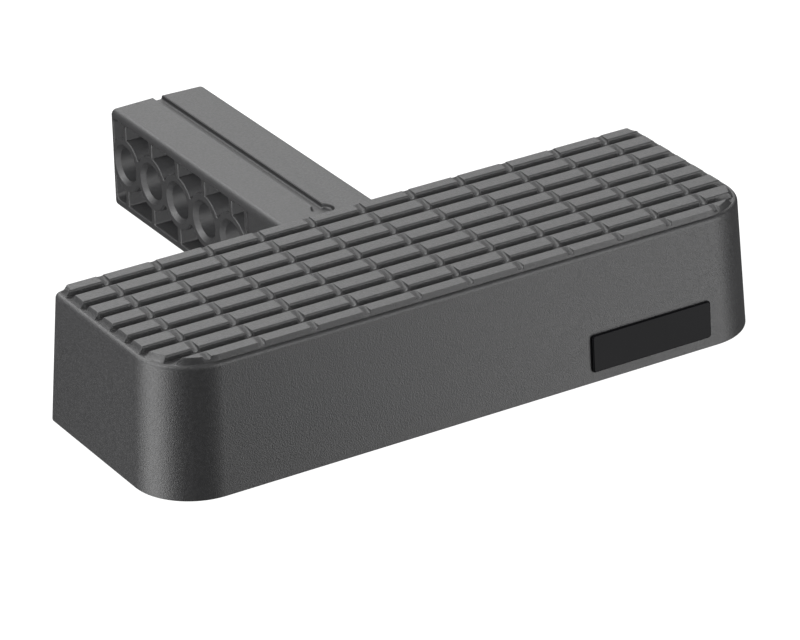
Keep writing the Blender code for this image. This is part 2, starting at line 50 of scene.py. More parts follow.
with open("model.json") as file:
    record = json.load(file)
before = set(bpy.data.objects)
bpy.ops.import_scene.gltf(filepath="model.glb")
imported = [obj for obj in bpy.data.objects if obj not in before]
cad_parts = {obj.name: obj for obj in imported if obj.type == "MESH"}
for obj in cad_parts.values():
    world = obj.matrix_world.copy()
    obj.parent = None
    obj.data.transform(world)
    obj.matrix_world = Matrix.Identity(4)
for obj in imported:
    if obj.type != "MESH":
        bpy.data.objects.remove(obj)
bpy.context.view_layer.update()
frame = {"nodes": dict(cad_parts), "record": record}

MM = 0.001
COVER_LOW, COVER_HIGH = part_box("step_cover")
SHANK_LOW, SHANK_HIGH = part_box("hitch_shank")
PLATE_LOW, PLATE_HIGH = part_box("closing_plate")
COLOURS = {entry["slot"]: entry["base_color"][:3] for entry in frame["record"]["materials"]}

CLEARANCE = 0.3 * MM

# The share of each record colour that the satin plastics show under their sheen.
COVER_SHADE = 0.4
SHANK_SHADE = 0.3
BADGE_SHADE = 0.4

# Extra lines across the roof, as (distance from the outer edge, spacing, count).
CORNER_LINES = (5.6 * MM, 0.55 * MM, 46)
END_LINES = (4.9 * MM, 0.26 * MM, 14)
FRONT_LINES = (6.4 * MM, 0.5 * MM, 40)
SIDE_LINES = (5.25 * MM, 0.14 * MM, 8)

# Pockets under the shank and cells in its tongue, as spans along Y.
UNDER_SPANS = ((56.5 * MM, 76.0 * MM), (79.0 * MM, 98.5 * MM))
TONGUE_SPANS = ((-22.0 * MM, -1.5 * MM), (1.5 * MM, 22.0 * MM))

# Soft panels, as (name, bearing, height in degrees, distance, size, radiance).
PANELS = (
    ("top_panel", 0.0, 88.0, 1.8, (1.8, 1.8), 0.2),
    ("back_panel", 149.0, 32.0, 2.6, (2.6, 2.2), 1.75),
    ("back_high_panel", 190.0, 50.0, 2.4, (2.2, 1.4), 3.2),
    ("left_panel", -94.0, -8.0, 1.6, (1.2, 1.8), 5.0),
    ("left_high_panel", -104.0, 46.0, 1.6, (1.0, 1.0), 7.5),
    ("right_panel", 40.0, -12.0, 1.0, (0.52, 1.0), 3.6),
    ("right_high_panel", 34.0, 30.0, 1.1, (0.8, 0.8), 4.0),
)
SHANK_PANEL = ("shank_fill", 4.0, 14.0, 1.2, (0.8, 0.8), 17.0)
AIR_STRENGTH = 0.12

CAMERA_LENS = 215.33
CAMERA_PLACE = (-0.96396, -1.58219, 0.94404)
CAMERA_TURN = (63.622, 1.225, -31.778)


# Sizes ---------------------------------------------------------------------------


def length_property(label, about, default):
    """A length in metres that the sidebar shows in the scene's units."""
    return FloatProperty(name=label, description=about, default=default, min=0.0, unit="LENGTH")


def angle_property(label, about, degrees):
    return FloatProperty(name=label, description=about, default=math.radians(degrees), subtype="ANGLE")


def colour_property(label, about, default):
    return FloatVectorProperty(name=label, description=about, default=default, min=0.0, max=1.0,
                               size=3, subtype="COLOR")


class CoverSize(bpy.types.PropertyGroup):
    """Sizes of the outer moulding."""

    length: length_property("Length", "Length of the cover at the ground", COVER_HIGH.x - COVER_LOW.x)
    depth: length_property("Depth", "Depth of the cover at the ground", COVER_HIGH.y - COVER_LOW.y)
    height: length_property("Height", "Ground to the top of the bars", COVER_HIGH.z - COVER_LOW.z)
    draft: angle_property("Draft", "Lean of the outer walls", 3.3)
    wall: length_property("Wall", "Thickness of the outer walls", 3.2 * MM)
    roof: length_property("Roof", "Thickness of the roof under the grooves", 3.7 * MM)
    front_radius: length_property("Front corners", "Plan radius of the front corners", 28.0 * MM)
    back_radius: length_property("Back corners", "Plan radius of the back corners", 5.0 * MM)
    edge_radius: length_property("Top edge", "Radius of the edge round the tread", 2.0 * MM)
    foot_radius: length_property("Bottom edge", "Radius of the edge on the ground", 0.5 * MM)
    rounding: IntProperty(name="Rounding", description="Faces in a corner", default=24, min=4)


class TreadSize(bpy.types.PropertyGroup):
    """Sizes of the bars on the tread."""

    rise: length_property("Rise", "Height of the bars above the rim", 2.8 * MM)
    pitch: length_property("Row pitch", "Distance between rows of bars", 12.7 * MM)
    grooves: IntProperty(name="Grooves", description="Grooves along the step", default=7, min=1)
    groove_floor: length_property("Groove floor", "Flat width at the bottom of a groove", 3.7 * MM)
    groove_run: length_property("Groove slope", "Lean of a bar's side over its height", 0.5 * MM)
    edge: length_property("Bar edge", "Radius along the top of the bars", 1.1 * MM)
    fillet: length_property("Bar foot", "Radius along the foot of the bars", 0.35 * MM)
    notch_pitch: length_property("Notch pitch", "Distance between cross notches", 25.4 * MM)
    notches: IntProperty(name="Notches", description="Cross notches in each bar", default=11, min=1)
    notch_depth: length_property("Notch depth", "Depth of a cross notch", 2.2 * MM)
    notch_radius: length_property("Notch radius", "Radius of a notch's floor", 1.7 * MM)
    notch_edge: length_property("Notch edge", "Radius of a notch's upper edges", 0.6 * MM)
    end_run: length_property("End slope", "Reach of the sweep up each bar's end", 2.3 * MM)
    side_run: length_property("Side slope", "Reach of the sweep up the outer bars' sides", 0.5 * MM)
    side_gap: length_property("Side gap", "Flat rim along the outer bars", 0.0)
    blend: length_property("Blend", "Softness where two slopes meet", 0.12 * MM)


class ShankSize(bpy.types.PropertyGroup):
    """Sizes of the square shank and its lattice."""

    width: length_property("Width", "Across the square", SHANK_HIGH.x - SHANK_LOW.x)
    end: length_property("Free end", "Middle of the step to the free end", SHANK_HIGH.y)
    front: length_property("Tongue", "Middle of the step to the front of the tongue", -SHANK_LOW.y)
    corner: length_property("Corners", "Radius of the long edges", 2.7 * MM)
    crown: angle_property("Crown", "Fall of the top to each side", 1.2)
    ledge: length_property("Ledge", "Height of the line under the top corner", 47.3 * MM)
    bore: length_property("Pin bore", "Diameter of the cross bores", 16.5 * MM)
    mouth: length_property("Bore mouth", "Diameter of a bore's chamfered mouth", 20.4 * MM)
    chamfer: length_property("Mouth depth", "Depth of the chamfer", 2.0 * MM)
    pitch: length_property("Bore pitch", "Distance between bores", 24.5 * MM)
    bores: IntProperty(name="Bores", description="Cross bores", default=5, min=1)
    boss: length_property("Boss radius", "Outer radius of a bore's boss", 13.2 * MM)
    rib: length_property("Rib", "Thickness of the upright ribs", 2.8 * MM)
    flange: length_property("Flange", "Thickness of the top and bottom flanges", 4.4 * MM)
    web: length_property("Web", "Thickness of the middle web", 4.0 * MM)
    lattice_end: length_property("Lattice end", "Middle of the step to the lattice", 100.4 * MM)
    end_wall: length_property("End wall", "Thickness of the walls that end the lattice", 2.0 * MM)
    relief: length_property("Relief", "Depth of the plain side below the lattice", 0.7 * MM)
    groove: length_property("Top groove", "Width of the groove along the top", 5.0 * MM)
    groove_depth: length_property("Groove depth", "Depth of the groove along the top", 2.2 * MM)
    recess: length_property("Recess", "Radius of the round end of the groove", 5.3 * MM)
    recess_place: length_property("Recess place", "Middle of the step to the recess", 75.2 * MM)


class BadgeSize(bpy.types.PropertyGroup):
    """Sizes of the plain badge."""

    width: length_property("Width", "Length of the badge", 62.5 * MM)
    height: length_property("Height", "Height of the badge", 17.6 * MM)
    corner: length_property("Corner", "Radius of the badge's corners", 1.6 * MM)
    across: length_property("Place", "Middle of the step to the middle of the badge", 88.9 * MM)
    up: length_property("Level", "Ground to the middle of the badge", 13.8 * MM)
    film: length_property("Film", "Thickness of the backing film", 0.35 * MM)
    dome: length_property("Dome", "Thickness of the poured dome", 0.85 * MM)


class StepColours(bpy.types.PropertyGroup):
    """Colours of the step's materials."""

    cover: colour_property("Cover", "Moulded cover", COLOURS["cover_plastic"])
    shank: colour_property("Shank", "Moulded shank", COLOURS["shank_plastic"])
    plate: colour_property("Plate", "Closing plate", COLOURS["plate_plastic"])
    core: colour_property("Cores", "Ribbed cores", COLOURS["core_plastic"])
    zinc: colour_property("Zinc", "Plated steel", COLOURS["zinc_steel"])
    screw: colour_property("Screws", "Screws under the plate", COLOURS["screw_steel"])
    brass: colour_property("Brass", "Threaded inserts", COLOURS["insert_brass"])
    badge: colour_property("Badge", "Badge", COLOURS["badge_black"])


# Mesh tools ----------------------------------------------------------------------


def tidy(mesh):
    """Merge what touches and turn the faces outward."""
    bmesh.ops.remove_doubles(mesh, verts=mesh.verts, dist=1e-6)
    bmesh.ops.recalc_face_normals(mesh, faces=mesh.faces)


def rounded_face(mesh, half_x, half_y, front, back, rounding):
    """A flat rounded rectangle facing up, with its own radius for the -Y and +Y corners."""
    bmesh.ops.create_grid(mesh, x_segments=1, y_segments=1, size=1.0)
    bmesh.ops.scale(mesh, vec=(half_x, half_y, 1.0), verts=mesh.verts)
    corners = [(vert, front if vert.co.y < 0 else back) for vert in mesh.verts]
    for vert, radius in corners:
        bmesh.ops.bevel(mesh, geom=[vert], offset=radius, affect="VERTICES", segments=rounding,
                        profile=0.5, material=-1)
    face = mesh.faces[:][0]
    if face.normal.z < 0:
        face.normal_flip()
    return face


def grow(mesh, face, steps):
    """Push a face along its normal in steps of (inset, distance); walls follow it."""
    for inset, distance in steps:
        bmesh.ops.inset_region(mesh, faces=[face], thickness=inset, depth=distance,
                               use_even_offset=True, use_boundary=True)
    return face


def back_face(mesh, face):
    """Close the back of a lone face with its reverse, so that both can be grown."""
    copy = bmesh.ops.duplicate(mesh, geom=[face])
    reverse = [item for item in copy["geom"] if isinstance(item, bmesh.types.BMFace)][0]
    reverse.normal_flip()
    return reverse


def quarter(radius, count, first=0, last=None):
    """Steps of a quarter round, starting along the wall and ending on the flat."""
    last = count if last is None else last
    steps = []
    for k in range(first, last):
        a = math.pi / 2 * k / count
        b = math.pi / 2 * (k + 1) / count
        steps.append((radius * (math.cos(a) - math.cos(b)), radius * (math.sin(b) - math.sin(a))))
    return steps


def slab(mesh, face, up, down):
    """A closed solid from one face, grown up on its front and down on its back."""
    reverse = back_face(mesh, face)
    grow(mesh, face, up)
    grow(mesh, reverse, down)
    tidy(mesh)
    return mesh


def polygon(mesh, points, axis, level):
    """One face from an outline; the outline gives the two axes other than its own in order."""
    corners = []
    for first, second in points:
        spot = {"X": (level, first, second), "Y": (first, level, second), "Z": (first, second, level)}
        corners.append(mesh.verts.new(spot[axis]))
    face = mesh.faces.new(corners)
    face.normal_update()
    if face.normal["XYZ".index(axis)] < 0:
        face.normal_flip()
    return face


def disc(mesh, radius, axis, centre, level, sides):
    """A round face that looks along +axis; centre gives the other two axes in order."""
    points = []
    for k in range(sides):
        angle = 2 * math.pi * k / sides
        points.append((centre[0] + radius * math.cos(angle), centre[1] + radius * math.sin(angle)))
    return polygon(mesh, points, axis, level)


def arc(centre, radius, start, end, steps):
    """Points on an arc, angles in degrees."""
    points = []
    for k in range(steps + 1):
        angle = math.radians(start + (end - start) * k / steps)
        points.append((centre[0] + radius * math.cos(angle), centre[1] + radius * math.sin(angle)))
    return points


def block(sides, middle):
    """A plain box to cut with."""
    mesh = bmesh.new()
    bmesh.ops.create_cube(mesh, size=1.0)
    bmesh.ops.scale(mesh, vec=sides, verts=mesh.verts)
    bmesh.ops.translate(mesh, vec=middle, verts=mesh.verts)
    return mesh


def mirrored(mesh):
    """The mesh on the other side of the middle plane, still with its faces outward."""
    bmesh.ops.scale(mesh, vec=(-1.0, 1.0, 1.0), verts=mesh.verts)
    bmesh.ops.reverse_faces(mesh, faces=mesh.faces)
    return mesh


def merged(parts):
    """Several closed meshes as one mesh of loose bodies."""
    whole = bmesh.new()
    for part in parts:
        data = bpy.data.meshes.new("part")
        part.to_mesh(data)
        part.free()
        whole.from_mesh(data)
        bpy.data.meshes.remove(data)
    return whole


def as_object(name, mesh):
    data = bpy.data.meshes.new(name)
    mesh.to_mesh(data)
    mesh.free()
    item = bpy.data.objects.new(name, data)
    bpy.context.scene.collection.objects.link(item)
    return item


def carved(mesh, cuts):
    """The mesh after a row of (operation, cutter mesh) cuts."""
    body = as_object("body", mesh)
    tools = []
    for operation, cutter in cuts:
        tool = as_object("tool", cutter)
        tools.append(tool)
        modifier = body.modifiers.new("cut", "BOOLEAN")
        modifier.operation = operation
        modifier.solver = "EXACT"
        modifier.object = tool
    graph = bpy.context.evaluated_depsgraph_get()
    result = bpy.data.meshes.new_from_object(body.evaluated_get(graph))
    fresh = bmesh.new()
    fresh.from_mesh(result)
    bpy.data.meshes.remove(result)
    for item in [body] + tools:
        data = item.data
        bpy.data.objects.remove(item)
        bpy.data.meshes.remove(data)
    return fresh


def finished(name, mesh, material, nodes, sharp=32.0):
    """Make a mesh a piece of the step that stands for its CAD nodes."""
    item = as_object(name, mesh)
    item.data.materials.append(material)
    item.data.shade_smooth()
    item.data.set_sharp_from_angle(angle=math.radians(sharp))
    normals = item.modifiers.new("flat_faces_stay_flat", "WEIGHTED_NORMAL")
    normals.keep_sharp = True
    normals.weight = 50
    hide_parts(*nodes)
    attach(item, "root")
    return item


# Materials -----------------------------------------------------------------------


def add_node(tree, kind, **values):
    """A node with attributes by name; values for sockets go in a dict named inputs."""
    node = tree.nodes.new(kind)
    for socket, value in values.pop("inputs", {}).items():
        node.inputs[socket].default_value = value
    for key, value in values.items():
        setattr(node, key, value)
    return node


def noise(tree, where, scale, detail=2.0, roughness=0.5):
    node = add_node(tree, "ShaderNodeTexNoise",
                    inputs={"Scale": scale, "Detail": detail, "Roughness": roughness})
    tree.links.new(where, node.inputs["Vector"])
    return node.outputs["Fac"]


def spread(tree, value, low, high, start=0.3, stop=0.7):
    """A noise value mapped to a range."""
    node = add_node(tree, "ShaderNodeMapRange",
                    inputs={"From Min": start, "From Max": stop, "To Min": low, "To Max": high})
    tree.links.new(value, node.inputs["Value"])
    return node.outputs["Result"]


def tinted(tree, factor, dark, light):
    node = add_node(tree, "ShaderNodeMix", data_type="RGBA")
    node.inputs["A"].default_value = (*dark, 1.0)
    node.inputs["B"].default_value = (*light, 1.0)
    tree.links.new(factor, node.inputs["Factor"])
    return node.outputs["Result"]


def scaled(colour, factor):
    return tuple(min(1.0, channel * factor) for channel in colour)


def shader_base(name, metallic=0.0):
    material = bpy.data.materials.new(name)
    material.use_nodes = True
    tree = material.node_tree
    shader = tree.nodes["Principled BSDF"]
    shader.inputs["Metallic"].default_value = metallic
    where = tree.nodes.new("ShaderNodeTexCoord").outputs["Object"]
    return material, tree, shader, where


def bumped(tree, shader, height, distance, strength=1.0):
    bump = add_node(tree, "ShaderNodeBump", inputs={"Strength": strength, "Distance": distance})
    tree.links.new(height, bump.inputs["Height"])
    tree.links.new(bump.outputs["Normal"], shader.inputs["Normal"])


def moulded_plastic(name, colour, roughness=0.41, grain=1650.0, grain_depth=0.15 * MM, scuff_and_highlight=0.25):
    """Charcoal plastic with a fine sand grain, faint flow marks, and lighter edges that are part wear,
    part painted highlight.
    """
    material, tree, shader, where = shader_base(name)
    flow = noise(tree, where, 18.0, 3.0)
    sand = noise(tree, where, grain, 2.0, 0.6)
    speck = noise(tree, where, grain * 0.45, 1.0)
    shade = add_node(tree, "ShaderNodeMath", operation="ADD")
    tree.links.new(spread(tree, flow, -0.12, 0.12), shade.inputs[0])
    tree.links.new(spread(tree, speck, 0.2, 0.8), shade.inputs[1])
    body = tinted(tree, shade.outputs["Value"], scaled(colour, 0.86), scaled(colour, 1.14))
    # Convex edges are made lighter: partly wear, partly a painted highlight along the edge lines.
    edges = add_node(tree, "ShaderNodeNewGeometry").outputs["Pointiness"]
    edge_wear_and_highlight = spread(tree, edges, 0.0, scuff_and_highlight, 0.52, 0.62)
    mix = add_node(tree, "ShaderNodeMix", data_type="RGBA")
    tree.links.new(edge_wear_and_highlight, mix.inputs["Factor"])
    tree.links.new(body, mix.inputs["A"])
    mix.inputs["B"].default_value = (*scaled(colour, 2.2), 1.0)
    tree.links.new(mix.outputs["Result"], shader.inputs["Base Color"])
    tree.links.new(spread(tree, speck, roughness - 0.05, roughness + 0.05), shader.inputs["Roughness"])
    bumped(tree, shader, sand, grain_depth)
    return material


def plated_steel(name, colour, roughness=0.32):
    """Zinc plate with fine turning marks and dull spots."""
    material, tree, shader, where = shader_base(name, metallic=1.0)
    spots = noise(tree, where, 260.0, 4.0)
    fine = noise(tree, where, 2400.0, 2.0)
    body = tinted(tree, spread(tree, spots, 0.0, 1.0), scaled(colour, 0.82), scaled(colour, 1.08))
    tree.links.new(body, shader.inputs["Base Color"])
    tree.links.new(spread(tree, spots, roughness + 0.1, roughness - 0.06), shader.inputs["Roughness"])
    bumped(tree, shader, fine, 0.012 * MM)
    return material


def gloss_film(name, colour, roughness):
    """Smooth black film or resin with a trace of orange peel."""
    material, tree, shader, where = shader_base(name)
    shader.inputs["Specular IOR Level"].default_value = 0.05
    peel = noise(tree, where, 160.0, 1.0)
    haze = noise(tree, where, 40.0, 3.0)
    body = tinted(tree, spread(tree, haze, 0.0, 1.0), scaled(colour, 0.9), scaled(colour, 1.1))
    tree.links.new(body, shader.inputs["Base Color"])
    tree.links.new(spread(tree, haze, roughness, roughness + 0.03), shader.inputs["Roughness"])
    bumped(tree, shader, peel, 0.01 * MM)
    return material


# Cover ---------------------------------------------------------------------------


def lean(size, height):
    """How far the drafted wall leans in at a height."""
    return height * math.tan(size.draft)


def drafted(mesh, face, size, height):
    """Raise a face by a height; it shrinks as the draft asks and keeps its corner radii."""
    grow(mesh, face, [(0.0, height)])
    half_x = max(vert.co.x for vert in face.verts)
    half_y = max(vert.co.y for vert in face.verts)
    inset = lean(size, height)
    bmesh.ops.scale(mesh, vec=(1 - inset / half_x, 1 - inset / half_y, 1.0), verts=face.verts)


def cover_body(size, tread):
    """The closed outer form; its roof is one face on the level of the groove floors."""
    rim = size.height - tread.rise
    foot = size.foot_radius
    mesh = bmesh.new()
    face = rounded_face(mesh, size.length / 2 - lean(size, foot), size.depth / 2 - lean(size, foot),
                        size.front_radius, size.back_radius, size.rounding)
    bmesh.ops.translate(mesh, vec=(0.0, 0.0, foot), verts=mesh.verts)
    reverse = back_face(mesh, face)
    drafted(mesh, face, size, rim - size.edge_radius - foot)
    grow(mesh, face, quarter(size.edge_radius, 7))
    grow(mesh, reverse, quarter(foot, 3))
    tidy(mesh)
    return mesh


def cover_hollow(size, tread):
    """The space inside; it reaches under the ground to open the cover downward."""
    mesh = bmesh.new()
    under = MM
    radius = 1.5 * MM
    ceiling = size.height - tread.rise - size.roof
    face = rounded_face(mesh, size.length / 2 - size.wall + lean(size, under),
                        size.depth / 2 - size.wall + lean(size, under),
                        size.front_radius - size.wall, size.back_radius - size.wall, size.rounding)
    bmesh.ops.translate(mesh, vec=(0.0, 0.0, -under), verts=mesh.verts)
    back_face(mesh, face)
    drafted(mesh, face, size, ceiling + under - radius)
    grow(mesh, face, quarter(radius, 3))
    tidy(mesh)
    return mesh


def round_bar(radius, low, high, place, sides=32):
    """An upright round bar."""
    mesh = bmesh.new()
    face = disc(mesh, radius, "Z", place, low, sides)
    return slab(mesh, face, [(0.0, high - low)], [])


def screw_spots():
    """The middles of the eight plate screws."""
    spots = []
    for name in sorted(frame["nodes"]):
        if name.startswith("plate_screw"):
            low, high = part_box(name)
            spots.append(((low.x + high.x) / 2, (low.y + high.y) / 2))
    return spots


def ramp(run, rise, low_radius, high_radius, count=4):
    """Section of a slope from (0, 0) to (run, rise) with both ends rounded."""
    slope = math.atan2(rise, run)
    low_reach = low_radius * math.tan(slope / 2)
    high_reach = high_radius * math.tan(slope / 2)
    points = []
    for k in range(count + 1):
        turn = slope * k / count
        points.append((low_radius * math.sin(turn) - low_reach, low_radius * (1 - math.cos(turn))))
    for k in range(count + 1):
        turn = slope * (1 - k / count)
        points.append((run + high_reach - high_radius * math.sin(turn),
                       rise - high_radius * (1 - math.cos(turn))))
    return points


def notch_section(tread, count=5):
    """Half of a notch's section: a round floor that turns out into round upper edges."""
    floor = tread.notch_radius
    edge = tread.notch_edge
    drop = tread.notch_depth - floor - edge
    reach = math.sqrt((floor + edge) ** 2 - drop ** 2)
    swing = math.atan2(reach, -drop)
    points = []
    for k in range(count + 1):
        turn = swing * k / count
        points.append((floor * math.sin(turn), floor * (1 - math.cos(turn)) - tread.notch_depth))
    for k in range(1, count + 1):
        turn = swing * (1 - k / count)
        points.append((reach - edge * math.sin(turn), -edge * (1 - math.cos(turn))))
    return points


def outline_distance(x, y, half_x, half_y, front, back):
    """Signed distance to a rounded rectangle, negative inside it."""
    radius = np.where(y < 0, front, back)
    far_x = np.abs(x) - half_x + radius
    far_y = np.abs(y) - half_y + radius
    outside = np.hypot(np.maximum(far_x, 0.0), np.maximum(far_y, 0.0))
    return outside + np.minimum(np.maximum(far_x, far_y), 0.0) - radius


def soft_least(first, second, blend):
    """The lesser of two heights, with the crease between them rounded."""
    share = np.clip(0.5 + 0.5 * (second - first) / blend, 0.0, 1.0)
    return second * (1 - share) + first * share - blend * share * (1 - share)


def tread_height(x, y, size, tread):
    """Height of the bars above the rim at points on the tread."""
    rim = size.height - tread.rise
    inset = lean(size, rim - size.edge_radius) + size.edge_radius
    foot_x = size.length / 2 - inset
    foot_y = size.depth / 2 - inset - tread.side_gap
    front = size.front_radius - size.edge_radius - MM
    back = size.back_radius - size.edge_radius
    to_foot = -outline_distance(x, y, foot_x, foot_y, front, back)
    to_top = outline_distance(x, y, foot_x - tread.end_run, foot_y - tread.side_run,
                              front - tread.end_run / 2, back)
    lift = 0.6
    climb = np.maximum(to_foot, 0.0) / np.maximum(to_foot + to_top, 0.05 * MM)
    sweep = lift * climb + (1 - lift) * climb ** 3
    height = soft_least(sweep * tread.rise, np.full_like(x, tread.rise), 3 * tread.blend)
    place = np.mod(y + tread.pitch * (tread.grooves - 1) / 2, tread.pitch) / tread.pitch
    shallow = 0.1
    back_edge = 0.76
    bar = 0.52
    deepen = np.clip(shallow + (1 - shallow) * (back_edge - place) / bar, shallow, 1.0)
    slope = ramp(tread.groove_run, tread.rise, tread.fillet, tread.edge)
    reach = [point[0] + tread.groove_floor / 2 for point in slope]
    first = -tread.pitch * (tread.grooves - 1) / 2
    for k in range(tread.grooves):
        away = np.abs(y - first - tread.pitch * k)
        height = soft_least(height, np.interp(away, reach, [point[1] for point in slope]), tread.blend)
    section = notch_section(tread)
    first = -tread.notch_pitch * (tread.notches - 1) / 2
    for k in range(tread.notches):
        away = np.abs(x - first - tread.notch_pitch * k)
        floor = np.interp(away, [point[0] for point in section], [point[1] for point in section])
        height = soft_least(height, floor * deepen + tread.rise, tread.blend)
    return np.maximum(height, 0.0)


def row(start, pitch, count):
    return [start + pitch * k for k in range(count)]


def tread_lines(size, tread):
    """Where the roof is cut across X and across Y, so that the creases lie on edges."""
    across = set()
    slope = ramp(tread.groove_run, tread.rise, tread.fillet, tread.edge)
    first = -tread.pitch * (tread.grooves - 1) / 2
    for k in range(tread.grooves):
        for reach, _ in slope:
            for side in (-1, 1):
                across.add(round(first + tread.pitch * k + side * (reach + tread.groove_floor / 2), 6))
    along = set()
    first = -tread.notch_pitch * (tread.notches - 1) / 2
    for k in range(tread.notches):
        for reach, _ in notch_section(tread):
            for side in (-1, 1):
                along.add(round(first + tread.notch_pitch * k + side * reach, 6))
    for side in (-1, 1):
        for away in row(*CORNER_LINES) + row(*END_LINES):
            along.add(round(side * (size.length / 2 - away), 6))
        for away in row(*SIDE_LINES):
            across.add(round(side * (size.depth / 2 - away), 6))
    for away in row(*FRONT_LINES):
        across.add(round(away - size.depth / 2, 6))
    return spaced(along, 0.06 * MM), spaced(across, 0.05 * MM)


def spaced(values, least):
    """Sorted values without any that crowd the one before."""
    kept = []
    for value in sorted(values):
        if not kept or value - kept[-1] >= least:
            kept.append(value)
    return kept


def raise_tread(mesh, size, tread):
    """Divide the flat roof and lift it into bars."""
    rim = size.height - tread.rise
    roof = [face for face in mesh.faces if face.normal.z > 0.99
            and abs(face.calc_center_median().z - rim) < 0.01 * MM]
    region = list({item for face in roof for item in [face, *face.edges, *face.verts]})
    along, across = tread_lines(size, tread)
    planes = [((x, 0, 0), (1, 0, 0)) for x in along]
    planes += [((0, y, 0), (0, 1, 0)) for y in across]
    for place, normal in planes:
        cut = bmesh.ops.bisect_plane(mesh, geom=region, dist=1e-7, plane_co=place, plane_no=normal)
        region = list(set(cut["geom"]) | set(cut["geom_cut"]))
    verts = [item for item in region if isinstance(item, bmesh.types.BMVert)]
    x = np.array([vert.co.x for vert in verts])
    y = np.array([vert.co.y for vert in verts])
    for vert, height in zip(verts, tread_height(x, y, size, tread)):
        vert.co.z = rim + height


def shank_slot(size, shank):
    """The opening in the back wall that the shank passes through."""
    half = shank.width / 2 + CLEARANCE
    middle = (0.0, size.depth / 2 - size.wall, half - CLEARANCE - MM)
    return block((2 * half, 4 * size.wall, half * 2 + 2 * MM), middle)


class HITCHSTEP_OT_cover(bpy.types.Operator):
    """Build the outer moulding with its ribbed tread"""

    bl_idname = "hitchstep.cover"
    bl_label = "Cover"

    def execute(self, context):
        size = context.scene.hitchstep_cover
        tread = context.scene.hitchstep_tread
        mesh = cover_body(size, tread)
        ceiling = size.height - tread.rise - size.roof
        insert_low, insert_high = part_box("screw_insert_1")
        post = 5.0 * MM
        drill = 3.8 * MM
        posts = []
        drills = []
        for spot in screw_spots():
            posts.append(round_bar(post, insert_low.z, ceiling + MM, spot))
            drills.append(round_bar(drill, insert_low.z - MM, insert_high.z + CLEARANCE, spot))
        hollow = carved(cover_hollow(size, tread), [("DIFFERENCE", merged(posts))])
        hollow = carved(hollow, [("UNION", merged(drills))])
        mesh = carved(mesh, [("DIFFERENCE", hollow),
                             ("DIFFERENCE", shank_slot(size, context.scene.hitchstep_shank))])
        raise_tread(mesh, size, tread)
        colour = scaled(context.scene.hitchstep_colours.cover, COVER_SHADE)
        material = moulded_plastic("charcoal_sand_grain", colour)
        finished("moulded_cover", mesh, material, ["step_cover"])
        return {"FINISHED"}


# Shank ---------------------------------------------------------------------------


def shank_outline(size):
    """Section of the shank as (x, z) points: crowned top, long ledges, round corners."""
    half = size.width / 2
    radius = size.corner
    inner = 0.35 * MM
    drop = (half - radius) * math.tan(size.crown)
    centre = (half - radius, size.width - drop - radius)
    turn = math.degrees(math.asin((size.ledge - centre[1]) / radius))
    right = arc((half - radius, radius), radius, -90, 0, 6)
    right.append((half, size.ledge - inner))
    right += arc(centre, radius, turn, 90 - math.degrees(size.crown), 7)
    left = [(-x, z) for x, z in reversed(right)]
    return right + [(0.0, size.width)] + left


def shank_body(size):
    mesh = bmesh.new()
    edge = 1.2 * MM
    face = polygon(mesh, shank_outline(size), "Y", size.end - edge)
    return slab(mesh, face, quarter(edge, 3), [(0.0, size.end - edge + size.front)])


def bore_spots(size):
    return [size.end - size.pitch / 2 - size.pitch * k for k in range(size.bores)]


def pocket_outline(size, near, far, up):
    """Outline of a pocket between two bosses, as (y, z) points; one of them may be None."""
    middle = size.width / 2
    roof = size.width / 2 - size.flange
    boss = size.boss
    half = size.pitch / 2
    fillet = 1.5 * MM
    corner = 0.8 * MM
    foot = math.degrees(math.acos((size.rib / 2) / boss))
    points = []
    if near is None or far is None:
        spot = far if near is None else near
        away = 1 if near is None else -1
        wall = size.end - size.end_wall if near is None else size.lattice_end + size.end_wall
        reach = abs(wall - spot)
        round_end = 2.4 * MM
        tip = math.degrees(math.acos(reach / boss)) if reach < boss else 0.0
        points += arc((size.rib / 2 + corner, roof - corner), corner, 180, 90, 3)
        points += arc((reach - round_end, roof - round_end), round_end, 90, 0, 5)
        points += arc((0.0, 0.0), boss, tip, foot, 8)
        return [(spot + away * first, middle + up * second) for first, second in points]
    lift = math.sqrt((boss + fillet) ** 2 - half ** 2)
    contact = math.degrees(math.asin(lift / (boss + fillet)))
    points += arc((size.rib / 2 + corner, roof - corner), corner, 180, 90, 3)
    points += arc((size.pitch - size.rib / 2 - corner, roof - corner), corner, 90, 0, 3)
    points += [(size.pitch - first, second)
               for first, second in arc((0.0, 0.0), boss, foot, contact, 10)]
    points += arc((half, lift), fillet, -contact, contact - 180, 6)[1:-1]
    points += arc((0.0, 0.0), boss, contact, foot, 10)
    return [(near + first, middle + up * second) for first, second in points]


def pocket_cutter(size, outline, side):
    """A pocket cored from one side, with a rounded floor and a rounded mouth."""
    mesh = bmesh.new()
    lip = 0.5 * MM
    level = size.width / 2 - lip
    face = polygon(mesh, outline, "X", level)
    flare = [(-inset, rise) for inset, rise in reversed(quarter(lip, 4, 1))]
    floor = 1.2 * MM
    depth = level - size.web / 2 - floor
    slab(mesh, face, flare + [(-0.05 * MM, 0.3 * MM)], [(0.25 * MM, depth)] + quarter(floor, 4))
    return mirrored(mesh) if side < 0 else mesh


def bore_cutter(size, spot):
    """A round bore right through, with chamfered and slightly rounded mouths."""
    mesh = bmesh.new()
    face = disc(mesh, size.bore / 2, "X", (spot, size.width / 2), 0.0, 72)
    widen = (size.mouth - size.bore) / 2
    straight = size.width / 2 - size.chamfer
    lip = 0.25 * MM
    steps = [(0.0, straight), (-widen, size.chamfer), (-lip, lip / 2), (-lip, MM)]
    return slab(mesh, face, steps, steps)


